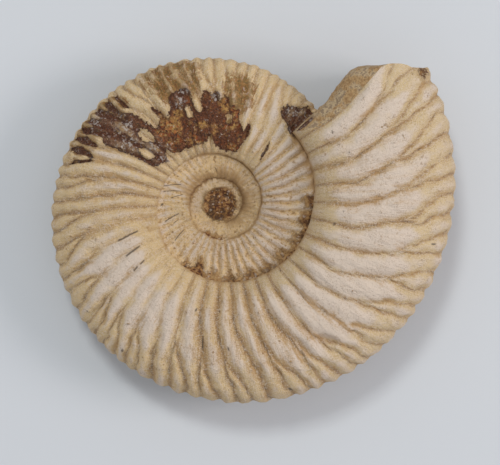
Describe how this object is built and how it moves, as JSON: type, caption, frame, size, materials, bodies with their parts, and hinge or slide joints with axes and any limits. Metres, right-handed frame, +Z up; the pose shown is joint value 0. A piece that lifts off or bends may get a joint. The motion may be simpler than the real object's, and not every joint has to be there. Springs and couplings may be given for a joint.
{
  "type": "ammonite fossil",
  "caption": "Flat-coiled ribbed ammonite in pale stone, lying on one side. Ribs fork towards the rim, the coil's middle is open on both faces, and the broken mouth shows solid rock.",
  "frame": {"origin": "middle of the underside of the fossil's box, on the plane of the two groups of worn rib crests it lies on", "axes": "+Z up, out of the side in view; +X towards the rim of the last half-whorl, right of the mouth, along the widest measure; +Y towards the mouth. Seen from +Z the whorl grows anticlockwise"},
  "size_m": [0.0792, 0.068, 0.0265],
  "materials": {
    "fossil_stone": "dry, lightly weathered calcite and limestone, matt with a faint sheen on the rib crests"
  },
  "bodies": {
    "root": {"ammonite": "fossil_stone"}
  },
  "joints": []
}
